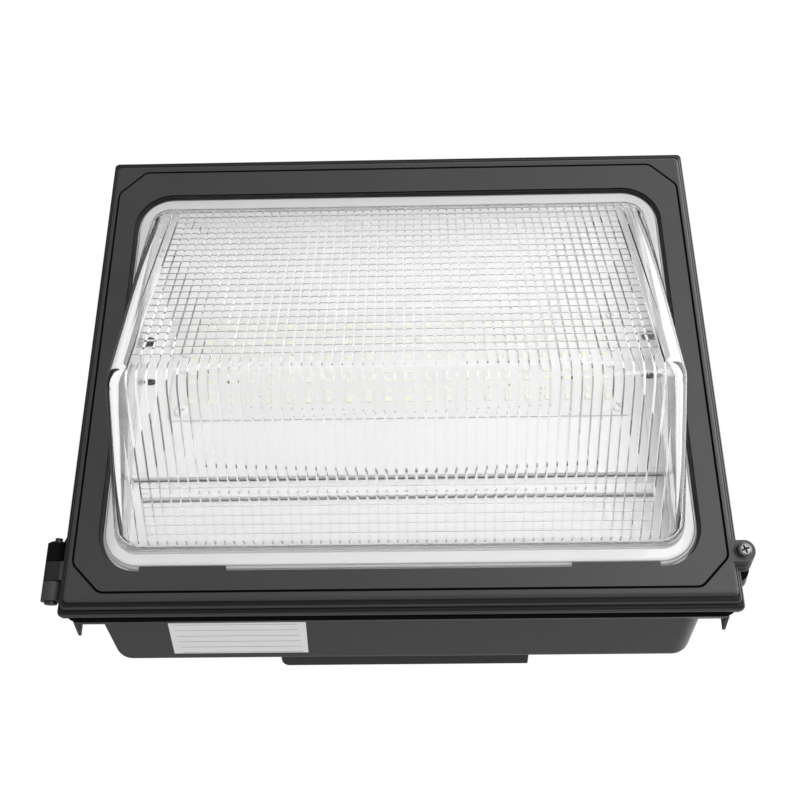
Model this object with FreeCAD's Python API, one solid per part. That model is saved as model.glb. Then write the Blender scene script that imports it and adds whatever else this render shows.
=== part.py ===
"""Wall pack light with a slanted, side-hung door and a deep prismatic glass refractor.

Row frame, millimetres: the wall is the plane y = 0, the front looks along -Y, +X is right
and +Z up. The origin is the middle of the mounting platform's face on the wall.

Door frame of reference ("tilted"): x as above, a runs up the door's front face from its
lower edge, h stands out of that face. Pieces that lie along the door are drawn with
X = x, Y = a, Z = h and then turned into the row frame by tilted().
"""
import FreeCAD
import Part
import math
import os
from FreeCAD import Vector

# ---------------------------------------------------------------- driving dimensions
# Door and its place
door_tilt = 26.0            # lean of the door off the vertical, top outwards, degrees
door_foot_y = -78.0         # the door's lower front edge
door_foot_z = -125.0
face_half_width = 176.5     # flat front face
face_low = 1.2
face_high = 271.4
border_steps = 3            # rounded reeds from the face down to the rim
step_side = 2.2
step_bottom = 3.3
step_top = 3.8
step_depth = 3.2
step_round = 2.3
door_depth = 12.0           # front face to the rim's back edge
door_wall = 3.0
door_corner = 3.0
hollow_corner = 2.0         # inside corners of the door's hollow back
hollow_inset = 2.0          # shallow part of that hollow, inside the first reed
tongue_inset = 7.0          # rib that presses the gasket, from the rim's outside
tongue_width = 2.0
tongue_corner = 3.0
through = 20.0              # how far plain holes are cut past their piece
beyond = 400.0              # how far cutting blocks reach past the light
root_bite = 0.5             # how far ribs and bosses run into the wall that carries them
score_width = 1.4           # V groove round the face
score_depth = 1.3
score_corner = 16.0
score_turn = 7.0            # rounding of the groove's own bends
score_side = 0.6            # groove's middle, from the face's edges
score_bottom = 0.8
score_top = 0.6

# Opening and refractor
opening_side_border = 13.5  # face beside, below and above the opening
opening_low_border = 12.6
opening_high_border = 18.6
opening_corner = 23.0
reveal_depth = 8.5
tab_reach = 2.6             # two small stops on the opening's lower edge
tab_inner = 92.5
tab_outer = 139.0
tab_thick = 1.6
glass_gasket_thick = 1.0
glass_flange = 3.5
glass_lap = 2.0             # flange beyond the opening
glass_gap = 1.4             # glass body inside the opening
glass_wall = 4.5
glass_ring_width = 6.0      # rounded bead round the foot of the glass
glass_ring_top = -1.0
glass_ring_round = 4.0
ridge_a = 93.1
ridge_h = 78.1
ridge_side_draw = 18.6      # ridge inside the opening's side
crown_margin = 12.4         # upper end of the long slope, below the opening's top
crown_h = 4.7
chin_margin = 11.0          # lower end of the short slope, above its bottom
chin_h = 6.3
glass_round = 14.0          # ridge, sides and bends outside
flute_count = 56            # V flutes running up the outside
flute_pitch = 5.1
flute_width = 1.3
flute_depth = 0.55
flute_end_gap = 1.5         # plain glass at the slopes' outer ends
prism_upper_count = 23
prism_lower_count = 6
prism_pitch_upper = 6.15
prism_pitch_lower = 5.6
prism_depth = 1.1           # sawtooth rows across the inside
prism_return = 1.1
prism_side_margin = 11.4    # plain glass beside the rows
prism_first_upper = 1.5     # from the inner slope's upper end
prism_first_lower = 0.3     # from the inner short slope's lower end

# Housing
parting_gap = 2.0           # door rim to housing rim
flange_side_inset = 1.1     # inside the door's rim
flange_low_reach = 1.8      # beyond the door's rim
flange_high_reach = 0.2
flange_rise = 4.0           # rim in front of the flange plate
flange_plate = 3.0
flange_corner = 9.0
rim_inset = 3.5             # raised rim inside the gasket's middle
body_side_inset = 13.5      # inside the flange's side
body_side_draft = 3.0       # narrower at the back
body_start = 30.0           # its block starts this far before the flange's top
body_low_front = -126.0
body_low_back = -122.0
body_high_front = 131.0
body_high_back = 123.0
body_corner = 12.0
back_round = 6.0
wall = 3.0
pad_depth = 13.5            # mounting platform behind the body
pad_left = -71.0
pad_right = 74.0
pad_low = -116.5
pad_high = 120.5
pad_round_left = 5.0
pad_round_right = 1.0
skirt_thick = 1.6           # thin drip skirt behind the flange's sides
skirt_depth = 10.0
skirt_inset = 4.0           # inside the flange's side
skirt_drop = 6.0            # below the flange's lower edge

# Gasket between door and housing
gasket_width = 3.0
gasket_groove_depth = 2.5
gasket_clear = 0.3

# Wall fixing
wall_hole_radius = 3.25
wall_hole_x = 55.0
wall_hole_z = 98.0
box_hole_radius = 2.6
box_hole_x = 44.45
entry_radius = 11.1
entry_length = 8.0
entry_boss_radius = 16.0

# Side conduit entries
side_entry_radius = 10.2
side_entry_y = -52.0
side_entry_z = -34.0
side_boss_radius = 15.0
side_boss_length = 9.0
plug_head_radius = 13.0
plug_head_thick = 3.5
plug_socket_width = 9.5
plug_socket_depth = 2.2
plug_length = 9.0

# Hinge
hinge_offset = 5.9          # pin's middle outside the door's rim
hinge_radius = 5.5
hinge_pin_radius = 2.0
running_clear = 0.05
hinge_low = 0.5
knuckle_length = 10.3
knuckle_gap = 0.4
gusset_high = 50.0
gusset_step = 4.0
gusset_outer = 2.0          # inside the barrel's outer side
arm_base = 1.0              # arm's underside over the pin's middle
arm_root = 1.5              # arm's bite into the door's rim
house_arm_root = 2.0
house_arm_gap = 0.5
clip_clear = 0.8
pin_head_radius = 3.4
pin_head_thick = 1.4
pin_over = 3.2
clip_radius = 4.2
clip_thick = 0.8
clip_groove_radius = 1.5

# Latch
latch_offset = 0.4          # screw's middle outside the door's rim
latch_a = 21.7
lug_reach = 6.9
lug_root = 8.0              # lug's bite into the door's rim
lug_draft = 1.2
lug_high = 27.4
lug_low_front = 15.8
lug_low_back = 12.1
lug_depth = 8.5
lug_round = 5.5
house_lug_low_front = 9.2
house_lug_low_back = 5.6
house_lug_thick = 6.0
house_lug_root = 3.0
latch_radius = 2.0
latch_hole_radius = 2.3
latch_head_radius = 3.8
latch_head_height = 2.7
washer_radius = 4.6
washer_thick = 0.8
retainer_radius = 3.4
retainer_thick = 0.8
retainer_rest = 12.8        # below the door's face
latch_travel = 4.2          # backed out until its tip leaves the insert
pocket_clear = 0.3          # room for the retainer in the lug's back
latch_reach = 18.1          # screw's tip below the door's face
insert_radius = 3.6

# Light engine
plate_depth = 30.0          # plate's front below the door's face
plate_thick = 2.0
plate_side_gap = 5.5        # to the housing's side walls
plate_low = 77.0
plate_high = 238.0
plate_lip = 7.0             # turned-back lower edge
rail_half_height = 6.0
rail_overlap = 11.0         # ledge under the plate's side
rail_length = 16.0
plate_screw_edge = 5.5
plate_screw_rows = (138.0, 226.0)
board_side_margin = 19.0    # board's end to the plate's side
board_low = 112.0
board_high = 160.0
board_thick = 1.6
chip_rows = (124.0, 136.5, 149.0)
chip_columns = 22
chip_pitch = 12.0
chip_size = 3.5
chip_height = 0.7
board_screw_edge = 7.0
board_screw_rows = (118.0, 154.5)

# Lower reflector
reflector_top_gap = 1.0     # below the plate's lower edge
reflector_top_depth = 36.0
reflector_low_a = 17.0
reflector_low_depth = 21.0
reflector_thick = 1.0
reflector_foot = 7.0
reflector_screw_x = 110.0
rib_half_width = 6.0
rib_depth = 12.0
side_reflector_thick = 1.0
side_reflector_foot = 10.0
reflector_front_depth = 19.5

# Driver and wiring
driver_length = 190.0
driver_height = 58.0
driver_thick = 34.0
driver_z = 42.0
driver_ear_length = 12.0
driver_ear_thick = 3.0
bracket_thick = 1.5
bracket_end = 10.0          # bracket beyond its bosses
bracket_flange = 8.0
bracket_height = 70.0
boss_height = 4.5
boss_radius = 5.5
driver_boss_x = 112.0
driver_boss_rise = 26.0
terminal_x = 118.0
terminal_z = -58.0
terminal_width = 36.0
terminal_height = 20.0
terminal_thick = 16.0
ground_x = -112.0
ground_z = -60.0

# Small fasteners
screw_radius = 2.0
screw_hole = 2.05
screw_head_radius = 3.8
screw_head_height = 2.4
screw_bite = 8.0
fit_clear = 0.05            # flat faces that seat on each other
clip_screw_radius = 1.5
clip_boss_radius = 3.0
clip_boss_gap = 0.4
clip_head_radius = 2.8
clip_head_height = 1.6
clip_sheet = 1.2
clip_half_width = 6.0
clip_screw_bite = 6.0
clip_side_rows = (70.0, 205.0)
clip_end_columns = (-70.0, 70.0)

# ---------------------------------------------------------------- derived values
rim_half_width = face_half_width + border_steps * step_side
rim_low = face_low - border_steps * step_bottom
rim_high = face_high + border_steps * step_top
opening_half_width = face_half_width - opening_side_border
opening_low = face_low + opening_low_border
opening_high = face_high - opening_high_border
ridge_half_width = opening_half_width - ridge_side_draw
prism_half_width = ridge_half_width - prism_side_margin
crown_a = opening_high - crown_margin
chin_a = opening_low + chin_margin
flange_half_width = rim_half_width - flange_side_inset
flange_low = rim_low - flange_low_reach
flange_high = rim_high + flange_high_reach
body_half_front = flange_half_width - body_side_inset
body_half_back = body_half_front - body_side_draft
hinge_x = -rim_half_width - hinge_offset
latch_x = rim_half_width + latch_offset
lug_outer_x = rim_half_width + lug_reach
parting_h = -door_depth - parting_gap
plate_front_h = parting_h - flange_rise
hinge_h = -door_depth - parting_gap / 2
root_h = -door_wall + root_bite
glass_seat_h = -reveal_depth - glass_gasket_thick
glass_back_h = glass_seat_h - glass_flange
glass_half_width = opening_half_width + glass_lap
glass_low = opening_low - glass_lap
glass_high = opening_high + glass_lap
back_y = -pad_depth
inner_back_y = back_y - wall
clip_offset = clip_boss_gap + clip_boss_radius
tongue_middle = tongue_inset + tongue_width / 2
tilt = math.radians(door_tilt)
plate_half_width = body_half_back - wall - plate_side_gap
plate_screw_x = plate_half_width - plate_screw_edge
rail_inner_x = plate_half_width - rail_overlap
reflector_half_width = plate_half_width
board_half_width = plate_half_width - board_side_margin
board_screw_x = board_half_width - board_screw_edge
bracket_half_width = driver_boss_x + bracket_end


# ---------------------------------------------------------------- helpers
def tilted(shape):
    """Turn a shape drawn in x, a, h into the row frame."""
    placed = shape.copy()
    turn = FreeCAD.Rotation(Vector(1, 0, 0), 90 + door_tilt)
    door_place = FreeCAD.Placement(Vector(0, door_foot_y, door_foot_z), turn)
    placed.Placement = door_place.multiply(placed.Placement)
    return placed


def row_point(x, a, h):
    """Row-frame place of a point given in x, a, h."""
    y = door_foot_y - math.sin(tilt) * a - math.cos(tilt) * h
    z = door_foot_z + math.cos(tilt) * a - math.sin(tilt) * h
    return Vector(x, y, z)


def box(x0, x1, y0, y1, z0, z1):
    return Part.makeBox(x1 - x0, y1 - y0, z1 - z0, Vector(x0, y0, z0))


def rod(x, y, z0, z1, radius):
    """Cylinder along Z (h for tilted pieces)."""
    return Part.makeCylinder(radius, z1 - z0, Vector(x, y, z0), Vector(0, 0, 1))


def rod_y(x, z, y0, y1, radius):
    """Cylinder along the row's Y."""
    return Part.makeCylinder(radius, y1 - y0, Vector(x, y0, z), Vector(0, 1, 0))


def rounded_wire(x0, x1, y0, y1, z, radius):
    """Closed rectangle with round corners in the plane Z = z."""
    k = radius * math.sqrt(0.5)
    corners = [(x1 - radius, y1 - radius, 1, 1), (x0 + radius, y1 - radius, -1, 1),
               (x0 + radius, y0 + radius, -1, -1), (x1 - radius, y0 + radius, 1, -1)]
    arcs = []
    for cx, cy, sx, sy in corners:
        ends = [Vector(cx + sx * radius, cy, z), Vector(cx, cy + sy * radius, z)]
        if sx * sy < 0:
            ends.reverse()
        arcs.append(Part.Arc(ends[0], Vector(cx + sx * k, cy + sy * k, z), ends[1]))
    edges = []
    for i, arc in enumerate(arcs):
        edges.append(arc.toShape())
        following = arcs[(i + 1) % 4]
        edges.append(Part.LineSegment(arc.EndPoint, following.StartPoint).toShape())
    return Part.Wire(edges)


def rounded_slab(x0, x1, y0, y1, z0, z1, radius):
    face = Part.Face(rounded_wire(x0, x1, y0, y1, z0, radius))
    return face.extrude(Vector(0, 0, z1 - z0))


def side_profile(points, x0, x1):
    """Extrude a polygon of (y, z) points along X."""
    ring = [Vector(x0, y, z) for y, z in points]
    face = Part.Face(Part.makePolygon(ring + ring[:1]))
    return face.extrude(Vector(x1 - x0, 0, 0))


def plan_profile(points, z0, z1):
    """Extrude a polygon of (x, y) points along Z."""
    ring = [Vector(x, y, z0) for x, y in points]
    face = Part.Face(Part.makePolygon(ring + ring[:1]))
    return face.extrude(Vector(0, 0, z1 - z0))


def edges_where(shape, test):
    """Edges whose two end points both satisfy the test."""
    return [e for e in shape.Edges
            if len(e.Vertexes) == 2 and all(test(v.Point) for v in e.Vertexes)]


def near(value, target):
    return abs(value - target) < 0.01


def ring_slab(outer, inner_inset, z0, z1, radius):
    """Frame between a rectangle (x, low, high) and the same rectangle inset."""
    half, low, high = outer
    solid = rounded_slab(-half, half, low, high, z0, z1, radius)
    inset = inner_inset
    hole = rounded_slab(-half + inset, half - inset, low + inset, high - inset,
                        z0 - 1, z1 + 1, max(radius - inset, 0.5))
    return solid.cut(hole)


def pan_screw(radius, head_radius, head_height, length):
    """Pan-head screw under the origin: head above Z = 0, plain shank below."""
    outline = [(0, -length), (radius * 0.7, -length), (radius, -length + radius * 0.4),
               (radius, 0), (head_radius, 0), (head_radius, head_height * 0.45),
               (head_radius * 0.72, head_height), (0, head_height)]
    ring = [Vector(r, 0, z) for r, z in outline]
    section = Part.Face(Part.makePolygon(ring + ring[:1]))
    return section.revolve(Vector(0, 0, 0), Vector(0, 0, 1), 360)


def placed_along(shape, point, direction):
    """Copy of a shape whose +Z is turned to a direction and whose origin is at a point."""
    copy = shape.copy()
    copy.Placement = FreeCAD.Placement(point, FreeCAD.Rotation(Vector(0, 0, 1), direction))
    return copy


def many(solids):
    return Part.makeCompound(solids)


# ---------------------------------------------------------------- door frame
def reeded_border():
    """Three rounded steps from the flat face out and back to the rim."""
    border = None
    for step in range(border_steps):
        grow = step + 1
        top = -step * step_depth
        bottom = -door_depth if grow == border_steps else top - step_depth
        half = face_half_width + grow * step_side
        low = face_low - grow * step_bottom
        high = face_high + grow * step_top
        slab = rounded_slab(-half, half, low, high, bottom, top, door_corner)
        front_edges = edges_where(slab, lambda p: near(p.z, top))
        slab = slab.makeFillet(step_round, front_edges)
        border = slab if border is None else border.fuse(slab)
    return border.removeSplitter()


def bent_wire(points, radius):
    """Closed wire through the points of an octagon, with each bend rounded."""
    reach = radius * math.tan(math.radians(22.5))
    lift = radius * (1 / math.cos(math.radians(22.5)) - 1)
    edges = []
    last_end = None
    first_start = None
    for i, point in enumerate(points):
        back = (points[i - 1] - point).normalize()
        onward = (points[(i + 1) % len(points)] - point).normalize()
        start = point + back * reach
        end = point + onward * reach
        inward = (back + onward).normalize()
        arc = Part.Arc(start, point + inward * lift, end)
        if last_end is None:
            first_start = start
        else:
            edges.append(Part.LineSegment(last_end, start).toShape())
        edges.append(arc.toShape())
        last_end = end
    edges.append(Part.LineSegment(last_end, first_start).toShape())
    return Part.Wire(edges)


def score_line():
    """V groove round the face: a rectangle with cut corners, as a sunk triangular ring."""
    half = face_half_width - score_side
    low = face_low + score_bottom
    high = face_high - score_top

    def octagon(inset, z):
        x = half - inset
        y0 = low + inset
        y1 = high - inset
        c = score_corner - inset * (2 - math.sqrt(2))
        ring = [(x, y0 + c), (x, y1 - c), (x - c, y1), (c - x, y1),
                (-x, y1 - c), (-x, y0 + c), (c - x, y0), (x - c, y0)]
        return bent_wire([Vector(px, py, z) for px, py in ring], score_turn - inset)

    middle = octagon(score_width / 2, -score_depth)
    outer = octagon(0, 0)
    inner = octagon(score_width, 0)
    outer_half = Part.makeLoft([outer, middle], True, True)
    inner_half = Part.makeLoft([inner, middle], True, True)
    groove = outer_half.cut(inner_half)
    return groove


def clip_places():
    """Clip middles round the glass as (x, a, direction towards the glass)."""
    places = []
    side = glass_half_width + clip_offset
    for row in clip_side_rows:
        places.append((-side, row, Vector(1, 0, 0)))
        places.append((side, row, Vector(-1, 0, 0)))
    for x in clip_end_columns:
        places.append((x, glass_low - clip_offset, Vector(0, 1, 0)))
        places.append((x, glass_high + clip_offset, Vector(0, -1, 0)))
    return places


def door_knuckle():
    """The door's middle knuckle with its arm and tapering gusset."""
    low = hinge_low + knuckle_length + knuckle_gap
    high = low + knuckle_length
    barrel = Part.makeCylinder(hinge_radius, knuckle_length, Vector(hinge_x, low, hinge_h),
                               Vector(0, 1, 0))
    arm_in = -rim_half_width + arm_root
    arm = box(hinge_x, arm_in, low, high, hinge_h + arm_base, hinge_h + hinge_radius)
    return barrel.fuse(arm)


def door_lug():
    """Ear for the latch screw, its underside spreading towards the back."""
    inner = rim_half_width - lug_root
    points = [(lug_high, 0), (lug_low_front, 0), (lug_low_back, -lug_depth),
              (lug_high + lug_draft, -lug_depth)]
    lug = side_profile(points, inner, lug_outer_x)
    outer_edges = edges_where(lug, lambda p: near(p.x, lug_outer_x))
    corner_edges = [e for e in outer_edges if not near(e.Vertexes[0].Z, e.Vertexes[1].Z)]
    return lug.makeFillet(lug_round, corner_edges)


def door_frame():
    frame = reeded_border()
    hollow_half = rim_half_width - door_wall
    hollow = rounded_slab(-hollow_half, hollow_half, rim_low + door_wall, rim_high - door_wall,
                          -door_depth - 1, -step_depth - door_wall, hollow_corner)
    shallow_half = face_half_width + step_side - hollow_inset
    shallow = rounded_slab(-shallow_half, shallow_half,
                           face_low - step_bottom + hollow_inset,
                           face_high + step_top - hollow_inset,
                           -door_depth - 1, -door_wall, hollow_corner)
    frame = frame.cut(hollow.fuse(shallow))
    reveal = rounded_slab(-opening_half_width - door_wall, opening_half_width + door_wall,
                          opening_low - door_wall, opening_high + door_wall,
                          -reveal_depth, root_h, opening_corner + door_wall)
    frame = frame.fuse(reveal)
    tongue = ring_slab((rim_half_width - tongue_inset, rim_low + tongue_inset,
                        rim_high - tongue_inset), tongue_width, -door_depth, root_h,
                       tongue_corner)
    frame = frame.fuse(tongue)
    for x, a, toward in clip_places():
        frame = frame.fuse(rod(x, a, glass_back_h + fit_clear, root_h, clip_boss_radius))
    frame = frame.fuse(door_knuckle()).fuse(door_lug())
    opening = rounded_slab(-opening_half_width, opening_half_width, opening_low, opening_high,
                           -2 * through, through, opening_corner)
    frame = frame.cut(opening)
    for side in (-1, 1):
        x0, x1 = sorted((side * tab_inner, side * tab_outer))
        frame = frame.fuse(box(x0, x1, opening_low - 1, opening_low + tab_reach,
                               -tab_thick, 0))
    frame = frame.cut(score_line())
    for x, a, toward in clip_places():
        frame = frame.cut(rod(x, a, glass_back_h - 1, glass_back_h + clip_screw_bite,
                              clip_screw_radius + running_clear))
    frame = frame.cut(rod(latch_x, latch_a, -through, through, latch_hole_radius))
    pocket_top = retainer_thick + latch_travel + pocket_clear - retainer_rest
    frame = frame.cut(rod(latch_x, latch_a, -through, pocket_top, retainer_radius + pocket_clear))
    pin_hole = Part.makeCylinder(hinge_pin_radius + running_clear, gusset_high + 2 * through,
                                 Vector(hinge_x, -through, hinge_h), Vector(0, 1, 0))
    frame = frame.cut(pin_hole)
    return tilted(frame.removeSplitter())


# ---------------------------------------------------------------- refractor
def line_through(point, angle, inset):
    """Line at an angle through a point, moved to the left of its direction by the inset."""
    direction = (math.cos(angle), math.sin(angle))
    moved = (point[0] - direction[1] * inset, point[1] + direction[0] * inset)
    return (moved, direction)


def meet(first, second):
    """Crossing of two lines given as (point, direction)."""
    (x1, y1), (u1, v1) = first
    (x2, y2), (u2, v2) = second
    t = ((x2 - x1) * v2 - (y2 - y1) * u2) / (u1 * v2 - v1 * u2)
    return (x1 + t * u1, y1 + t * v1)


def glass_corners(inset, base_h):
    """Corners (a, h) of the wedge's section: foot, crown, ridge, chin, foot."""
    foot_high = opening_high - glass_gap - glass_ring_width
    foot_low = opening_low + glass_gap + glass_ring_width
    slope_upper = math.atan2(ridge_h - crown_h, ridge_a - crown_a)
    slope_lower = math.atan2(chin_h - ridge_h, chin_a - ridge_a)
    rise_high = math.atan2(crown_h - glass_seat_h, crown_a - foot_high)
    fall_low = math.atan2(glass_seat_h - chin_h, foot_low - chin_a)
    lines = [line_through((foot_high, glass_seat_h), rise_high, inset),
             line_through((crown_a, crown_h), slope_upper, inset),
             line_through((chin_a, chin_h), slope_lower, inset),
             line_through((foot_low, glass_seat_h), fall_low, inset)]
    base = ((0, base_h), (1, 0))
    return [meet(base, lines[0]), meet(lines[0], lines[1]), meet(lines[1], lines[2]),
            meet(lines[2], lines[3]), meet(lines[3], base)]


def wedge(inset, base_h):
    """The refractor's smooth wedge, or the same moved in by the glass's thickness."""
    foot_half = opening_half_width - glass_gap - glass_ring_width
    section = side_profile(glass_corners(inset, base_h), -foot_half - 20, foot_half + 20)
    draft = (foot_half - ridge_half_width) / (ridge_h - glass_seat_h)
    shift = inset * math.hypot(1, draft)
    top_h = ridge_h + 5
    wide = foot_half - shift - draft * (base_h - glass_seat_h)
    narrow = foot_half - shift - draft * (top_h - glass_seat_h)
    ring = [Vector(wide, 0, base_h), Vector(narrow, 0, top_h),
            Vector(-narrow, 0, top_h), Vector(-wide, 0, base_h)]
    drafted = Part.Face(Part.makePolygon(ring + ring[:1])).extrude(Vector(0, opening_high, 0))
    block = section.common(drafted)
    rounded = [e for e in block.Edges
               if e.Vertexes[0].Z > base_h + 0.01 or e.Vertexes[1].Z > base_h + 0.01]
    return block.makeFillet(glass_round - inset, rounded)


def slope_frame(start, end):
    """Length and unit vectors (along, outward) of a section line in a, h."""
    length = math.dist(start, end)
    along = Vector(0, (end[0] - start[0]) / length, (end[1] - start[1]) / length)
    outward = Vector(0, -along.z, along.y)
    if outward.z < 0:
        outward = outward * -1
    return length, along, outward


def flute_comb(origin, outward):
    """Row of V teeth across the width, in the plane of X and the outward direction."""
    lift = flute_width * 0.5
    deep = outward * -flute_depth
    high = outward * lift
    spread = flute_width / 2 * (1 + lift / flute_depth)
    teeth = []
    for i in range(flute_count + 1):
        x = (i - flute_count / 2) * flute_pitch
        ring = [origin + Vector(x - spread, 0, 0) + high, origin + Vector(x, 0, 0) + deep,
                origin + Vector(x + spread, 0, 0) + high]
        teeth.append(Part.Face(Part.makePolygon(ring + ring[:1])))
    return teeth


def flute_cutters():
    """V flutes up the short slope, round the ridge and up the long slope."""
    foot, crown, ridge, chin, heel = [Vector(0, a, h) for a, h in glass_corners(0, glass_back_h)]
    upper_length, upper_along, upper_out = slope_frame((crown.y, crown.z), (ridge.y, ridge.z))
    lower_length, lower_along, lower_out = slope_frame((chin.y, chin.z), (ridge.y, ridge.z))
    turn = upper_out.getAngle(lower_out)
    setback = glass_round * math.tan(turn / 2)
    upper_start = crown + upper_along * flute_end_gap
    upper_end = ridge - upper_along * setback
    lower_start = chin + lower_along * flute_end_gap
    lower_end = ridge - lower_along * setback
    centre = upper_end - upper_out * glass_round
    cutters = []
    for tooth in flute_comb(upper_start, upper_out):
        cutters.append(tooth.extrude(upper_end - upper_start))
    for tooth in flute_comb(lower_start, lower_out):
        cutters.append(tooth.extrude(lower_end - lower_start))
    for tooth in flute_comb(upper_end, upper_out):
        cutters.append(tooth.revolve(centre, Vector(1, 0, 0), math.degrees(turn)))
    return cutters


def prism_bars(start, end, first, rows, pitch):
    """Sawtooth bars across the inside of one slope, standing into the hollow."""
    length, along, outward = slope_frame(start, end)
    origin = Vector(0, start[0], start[1]) + outward * 0.4
    bars = []
    for row in range(rows):
        low = origin + along * (first + row * pitch)
        top = low + along * (pitch - prism_return) - outward * (prism_depth + 0.4)
        far = low + along * pitch
        ring = [low, top, far]
        section = Part.Face(Part.makePolygon(ring + ring[:1]))
        section.translate(Vector(-prism_half_width, 0, 0))
        bars.append(section.extrude(Vector(2 * prism_half_width, 0, 0)))
    return bars


def foot_bead():
    """Rounded bead on which the wedge stands, just inside the opening's edge."""
    half = opening_half_width - glass_gap
    bead = rounded_slab(-half, half, opening_low + glass_gap, opening_high - glass_gap,
                        glass_back_h, glass_ring_top, opening_corner - glass_gap)
    top_edges = edges_where(bead, lambda p: near(p.z, glass_ring_top))
    return bead.makeFillet(glass_ring_round, top_edges)


def glass_refractor():
    """Pressed glass: beaded wedge shell on a flat flange, fluted outside, prisms inside."""
    base_h = glass_back_h
    hollow_base = glass_back_h - 1
    foot_half = opening_half_width - glass_gap - glass_ring_width
    outline = rounded_slab(-foot_half, foot_half, opening_low + glass_gap + glass_ring_width,
                           opening_high - glass_gap - glass_ring_width, base_h, ridge_h + 1,
                           opening_corner - glass_gap - glass_ring_width)
    outer = wedge(0, glass_seat_h - 0.5).common(outline)
    outer = outer.cut(many(flute_cutters()))
    outer = outer.fuse(foot_bead())
    flange = rounded_slab(-glass_half_width, glass_half_width, glass_low, glass_high,
                          base_h, glass_seat_h, opening_corner + glass_lap)
    hollow = wedge(glass_wall, hollow_base)
    inner = glass_corners(glass_wall, hollow_base)
    crown, ridge, chin = inner[1], inner[2], inner[3]
    bars = prism_bars(crown, ridge, prism_first_upper, prism_upper_count, prism_pitch_upper)
    bars += prism_bars(chin, ridge, prism_first_lower, prism_lower_count, prism_pitch_lower)
    hollow = hollow.cut(many(bars))
    glass = outer.fuse(flange).cut(hollow)
    return tilted(glass)


def glass_gasket():
    """Flat ring between the reveal's back edge and the glass flange."""
    outer = glass_lap - fit_clear * 2
    inner = 0.4
    ring = rounded_slab(-opening_half_width - outer, opening_half_width + outer,
                        opening_low - outer, opening_high + outer,
                        glass_seat_h, -reveal_depth, opening_corner + outer)
    hole = rounded_slab(-opening_half_width - inner, opening_half_width + inner,
                        opening_low - inner, opening_high + inner,
                        glass_seat_h - 1, 1, opening_corner + inner)
    return tilted(ring.cut(hole))


def glass_clips():
    """Sheet clips over the back of the glass flange, one at each boss."""
    clips = []
    back = glass_back_h
    reach = clip_offset + glass_lap - 0.5
    for x, a, toward in clip_places():
        across = Vector(-toward.y, toward.x, 0)
        start = Vector(x, a, back - clip_sheet) - toward * clip_boss_radius
        ring = [start - across * clip_half_width, start + across * clip_half_width]
        ring += [p + toward * (clip_boss_radius + reach) for p in reversed(ring)]
        plate = Part.Face(Part.makePolygon(ring + ring[:1])).extrude(Vector(0, 0, clip_sheet))
        hole = rod(x, a, back - 3, back + 3, clip_screw_radius + running_clear)
        clips.append(tilted(plate.cut(hole)))
    return many(clips)


def glass_clip_screws():
    screws = []
    screw = pan_screw(clip_screw_radius, clip_head_radius, clip_head_height,
                      clip_screw_bite - 1.0)
    for x, a, toward in clip_places():
        spot = placed_along(screw, Vector(x, a, glass_back_h - clip_sheet), Vector(0, 0, -1))
        screws.append(tilted(spot))
    return many(screws)


# ---------------------------------------------------------------- housing
def body_half(y):
    """Half-width of the body at a distance from the wall, drafted from back to front."""
    front_y = row_point(0, flange_high, plate_front_h).y
    share = (y - back_y) / (front_y - back_y)
    return body_half_back + (body_half_front - body_half_back) * share


def body_block(inset):
    """The body's wedge: level underside, gently falling top, drafted sides."""
    back = back_y - inset
    foot_y = row_point(0, flange_low, plate_front_h).y
    brow_y = row_point(0, flange_high, plate_front_h).y
    low_slope = (body_low_back - body_low_front) / (back_y - foot_y)
    high_slope = (body_high_back - body_high_front) / (back_y - brow_y)
    near_y = brow_y - body_start
    section = [(back, body_low_back - low_slope * inset + inset),
               (near_y, body_low_back + low_slope * (near_y - back_y) + inset),
               (near_y, body_high_back + high_slope * (near_y - back_y) - inset),
               (back, body_high_back - high_slope * inset - inset)]
    block = side_profile(section, -body_half_front - through, body_half_front + through)
    plan = [(body_half(back) - inset, back), (body_half(near_y) - inset, near_y),
            (-body_half(near_y) + inset, near_y), (-body_half(back) + inset, back)]
    block = block.common(plan_profile(plan, -beyond, beyond))
    long_edges = edges_where(block, lambda p: True)
    long_edges = [e for e in long_edges
                  if abs(e.Vertexes[0].Y - e.Vertexes[1].Y) > (back - near_y) / 2]
    block = block.makeFillet(body_corner - inset, long_edges)
    back_edges = edges_where(block, lambda p: near(p.y, back))
    block = block.makeFillet(back_round - inset, back_edges)
    in_front = tilted(box(-beyond, beyond, -beyond, beyond, plate_front_h, beyond))
    return block.cut(in_front)


def platform(inset):
    """Mounting platform on the back, or its hollow."""
    front = back_y - wall - 1 if inset else back_y - 1
    slab = box(pad_left + inset, pad_right - inset, front, -inset,
               pad_low + inset, pad_high - inset)
    if inset:
        return slab
    left = [e for e in slab.Edges
            if near(e.Vertexes[0].X, pad_left) and near(e.Vertexes[1].X, pad_left)
            and abs(e.Vertexes[0].Y - e.Vertexes[1].Y) > 1]
    slab = slab.makeFillet(pad_round_left, left)
    right = [e for e in slab.Edges
             if near(e.Vertexes[0].X, pad_right) and near(e.Vertexes[1].X, pad_right)
             and abs(e.Vertexes[0].Y - e.Vertexes[1].Y) > 1]
    return slab.makeFillet(pad_round_right, right)


def flange():
    """Flange plate with the raised rim that carries the gasket."""
    plate = rounded_slab(-flange_half_width, flange_half_width, flange_low, flange_high,
                         plate_front_h - flange_plate, plate_front_h, flange_corner)
    rim = rounded_slab(-flange_half_width, flange_half_width, flange_low, flange_high,
                       plate_front_h, parting_h, flange_corner)
    inset = tongue_middle + rim_inset
    inner = rounded_slab(-rim_half_width + inset, rim_half_width - inset, rim_low + inset,
                         rim_high - inset, plate_front_h, parting_h + 1, 3.0)
    return tilted(plate.fuse(rim.cut(inner)))


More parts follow.
